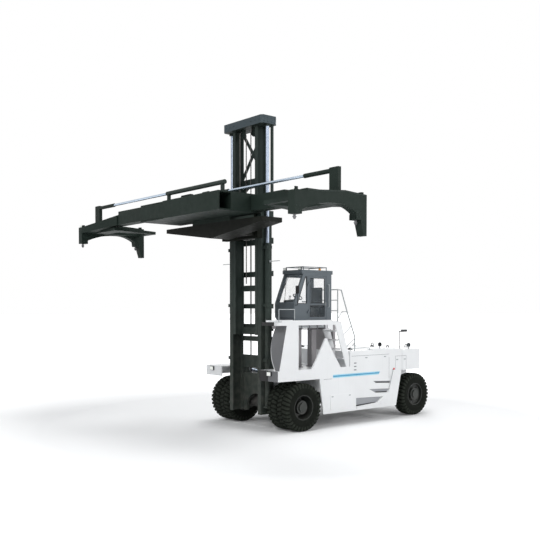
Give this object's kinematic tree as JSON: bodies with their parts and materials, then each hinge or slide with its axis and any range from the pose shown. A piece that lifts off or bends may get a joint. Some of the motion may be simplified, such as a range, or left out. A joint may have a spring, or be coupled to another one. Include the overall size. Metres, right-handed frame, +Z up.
{
  "type": "container-handling forklift truck",
  "caption": "Heavy counterbalanced lift truck with a two-stage mast, a raised cab and a telescoping container spreader.",
  "frame": {"origin": "middle of the plan outline, on the ground", "axes": "+X forward towards the spreader, +Y to the driver's left along the spreader, +Z up"},
  "size_m": [11.19, 12.235, 10.52],
  "materials": {
    "mast_paint": "satin dark green-grey paint",
    "body_white": "gloss cool white paint",
    "chassis_dark": "satin near-black paint",
    "cab_slate": "satin slate paint",
    "tyre": "matte tread rubber",
    "rim_paint": "satin dark paint",
    "rod_chrome": "polished hard chrome",
    "glass": "clear safety glass",
    "seat_fabric": "dark woven seat cloth",
    "console_plastic": "grained dark plastic",
    "lamp_lens": "clear ribbed lamp lens",
    "rail_paint": "pale grey painted tube",
    "lock_steel": "worn bare steel",
    "engine_iron": "painted castings"
  },
  "bodies": {
    "chassis": {"chassis_frame": "chassis_dark", "drive_axle": "chassis_dark", "steer_axle": "chassis_dark", "engine_block": "engine_iron", "side_panels": "body_white", "fenders": "body_white", "rear_deck": "body_white", "hood": "body_white", "counterweight": "body_white", "cab_tower": "body_white", "tower_columns": "cab_slate", "platform": "body_white", "ladder": "body_white", "handrails": "rail_paint", "cab_shell": "cab_slate", "cab_glass": "glass", "seat": "seat_fabric", "controls": "console_plastic", "roof_guard": "cab_slate", "mirrors": "console_plastic", "lamps": "lamp_lens"},
    "door": {"cab_door": "cab_slate", "door_glass": "glass"},
    "front_wheel_left": {"front_tyres_left": "tyre", "front_rim_left": "rim_paint"},
    "front_wheel_right": {"front_tyres_right": "tyre", "front_rim_right": "rim_paint"},
    "knuckle_left": {"knuckle_left": "chassis_dark"},
    "knuckle_right": {"knuckle_right": "chassis_dark"},
    "rear_wheel_left": {"rear_tyre_left": "tyre", "rear_rim_left": "rim_paint"},
    "rear_wheel_right": {"rear_tyre_right": "tyre", "rear_rim_right": "rim_paint"},
    "outer_mast": {"outer_mast": "mast_paint", "lift_barrels": "mast_paint"},
    "inner_mast": {"inner_mast": "mast_paint", "lift_rods": "rod_chrome", "lift_chains": "lock_steel"},
    "carriage": {"carriage": "mast_paint", "spreader_frame": "mast_paint", "extension_barrels": "mast_paint"},
    "arm_left": {"spreader_arm_left": "mast_paint", "twistlocks_left": "lock_steel", "extension_rod_left": "rod_chrome"},
    "arm_right": {"spreader_arm_right": "mast_paint", "twistlocks_right": "lock_steel", "extension_rod_right": "rod_chrome"},
    "tilt_barrels": {"tilt_barrels": "mast_paint"},
    "tilt_rods": {"tilt_rods": "rod_chrome"}
  },
  "joints": [
    {"name": "mast_tilt", "type": "hinge", "parent": "chassis", "child": "outer_mast", "pos_m": [1.555, 0, 0.807], "axis": [0, 1, 0], "range_deg": [-6, 5]},
    {"name": "mast_lift", "type": "slide", "parent": "outer_mast", "child": "inner_mast", "axis": [0, 0, 1], "range_m": [-2.6, 2.4]},
    {"name": "carriage_lift", "type": "slide", "parent": "inner_mast", "child": "carriage", "axis": [0, 0, 1], "range_m": [-2.6, 2.4]},
    {"name": "extend_left", "type": "slide", "parent": "carriage", "child": "arm_left", "axis": [0, 1, 0], "range_m": [-3.066, 0]},
    {"name": "extend_right", "type": "slide", "parent": "carriage", "child": "arm_right", "axis": [0, -1, 0], "range_m": [-3.066, 0]},
    {"name": "tilt_barrel_swing", "type": "hinge", "parent": "chassis", "child": "tilt_barrels", "pos_m": [0.055, 0, 1.5], "axis": [0, 1, 0], "range_deg": [-8, 8]},
    {"name": "tilt_rod_slide", "type": "slide", "parent": "tilt_barrels", "child": "tilt_rods", "axis": [0.9667, 0, 0.2559], "range_m": [-0.2, 0.2]},
    {"name": "steer_left", "type": "hinge", "parent": "chassis", "child": "knuckle_left", "pos_m": [-4.462, 1.33, 0.807], "axis": [0, 0, 1], "range_deg": [-60, 60]},
    {"name": "steer_right", "type": "hinge", "parent": "chassis", "child": "knuckle_right", "pos_m": [-4.462, -1.33, 0.807], "axis": [0, 0, 1], "range_deg": [-60, 60]},
    {"name": "front_roll_left", "type": "hinge", "parent": "chassis", "child": "front_wheel_left", "pos_m": [1.555, 1.833, 0.807], "axis": [0, 1, 0], "continuous": true},
    {"name": "front_roll_right", "type": "hinge", "parent": "chassis", "child": "front_wheel_right", "pos_m": [1.555, -1.833, 0.807], "axis": [0, 1, 0], "continuous": true},
    {"name": "rear_roll_left", "type": "hinge", "parent": "knuckle_left", "child": "rear_wheel_left", "pos_m": [-4.462, 1.62, 0.807], "axis": [0, 1, 0], "continuous": true},
    {"name": "rear_roll_right", "type": "hinge", "parent": "knuckle_right", "child": "rear_wheel_right", "pos_m": [-4.462, -1.62, 0.807], "axis": [0, 1, 0], "continuous": true},
    {"name": "door_swing", "type": "hinge", "parent": "chassis", "child": "door", "pos_m": [0.555, 1.24, 4.5], "axis": [0, 0, -1], "range_deg": [0, 95]}
  ],
  "couplings": [
    {"joint": "carriage_lift", "follows": "mast_lift", "ratio": 1},
    {"joint": "extend_right", "follows": "extend_left", "ratio": 1},
    {"joint": "tilt_barrel_swing", "follows": "mast_tilt", "ratio": 0.27627},
    {"joint": "tilt_rod_slide", "follows": "mast_tilt", "m_per_rad": 1.0538},
    {"joint": "steer_right", "follows": "steer_left", "ratio": 1}
  ]
}
